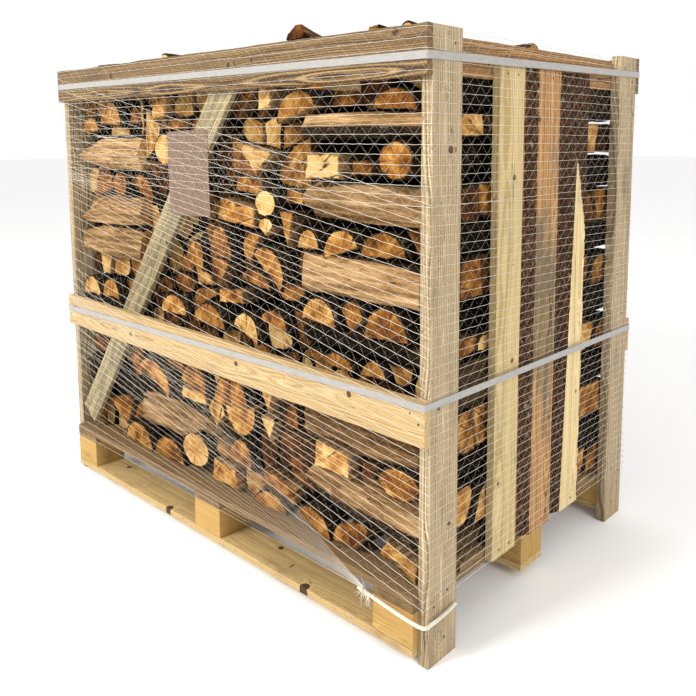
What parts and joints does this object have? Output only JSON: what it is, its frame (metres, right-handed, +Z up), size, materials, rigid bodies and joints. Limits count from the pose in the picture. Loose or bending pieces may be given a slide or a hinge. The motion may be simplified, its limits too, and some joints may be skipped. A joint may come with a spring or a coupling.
{
  "type": "pallet of firewood",
  "caption": "Slatted wooden crate on a pallet, stacked full of split firewood logs and wrapped in a knitted net and flat straps.",
  "frame": {"origin": "on the ground, under the middle of the whole crate", "axes": "+X along the long side, +Y from the front face to the back face, +Z up"},
  "size_m": [1.4906, 0.9812, 1.3506],
  "materials": {
    "post_wood": "rough sawn softwood, greyed",
    "board_wood": "rough sawn softwood, warm yellow with knots",
    "slat_wood": "rough sawn slab wood with bark edges",
    "pallet_wood": "rough sawn softwood with bark patches",
    "log_wood": "split hardwood with rough bark, sawn ends",
    "strap_plastic": "translucent polyester strapping",
    "net_plastic": "knitted polyethylene thread",
    "label_card": "uncoated card"
  },
  "bodies": {
    "root": {"runner_board_front": "pallet_wood", "runner_board_middle": "pallet_wood", "runner_board_back": "pallet_wood", "block_front_left": "pallet_wood", "block_front_middle": "pallet_wood", "block_front_right": "pallet_wood", "block_middle_left": "pallet_wood", "block_middle_middle": "pallet_wood", "block_middle_right": "pallet_wood", "block_back_left": "pallet_wood", "block_back_middle": "pallet_wood", "block_back_right": "pallet_wood", "cross_board_left": "pallet_wood", "cross_board_middle": "pallet_wood", "cross_board_right": "pallet_wood", "deck_board_1": "pallet_wood", "deck_board_2": "pallet_wood", "deck_board_3": "pallet_wood", "deck_board_4": "pallet_wood", "deck_board_5": "pallet_wood", "deck_board_6": "pallet_wood", "post_front_left": "post_wood", "post_front_right": "post_wood", "post_back_left": "post_wood", "post_back_right": "post_wood", "top_board_front": "board_wood", "top_board_back": "board_wood", "middle_board_front": "board_wood", "middle_board_back": "board_wood", "brace_front": "post_wood", "brace_back": "post_wood", "rail_left": "slat_wood", "rail_right": "slat_wood", "slat_right_1": "slat_wood", "slat_right_2": "slat_wood", "slat_right_3": "slat_wood", "slat_left_1": "slat_wood", "slat_left_2": "slat_wood", "slat_left_3": "slat_wood", "strap_top": "strap_plastic", "strap_middle": "strap_plastic", "net": "net_plastic", "net_tail": "net_plastic", "label_card": "label_card", "log_right_lowest": "log_wood", "log_right_low": "log_wood", "log_right_middle": "log_wood", "log_right_high": "log_wood", "log_right_highest": "log_wood", "log_left_low": "log_wood", "log_left_middle": "log_wood", "log_left_high": "log_wood", "log_stack": "log_wood", "loose_log_1": "log_wood", "loose_log_2": "log_wood", "loose_log_3": "log_wood", "loose_log_4": "log_wood", "loose_log_5": "log_wood", "loose_log_6": "log_wood", "loose_log_7": "log_wood"}
  },
  "joints": []
}
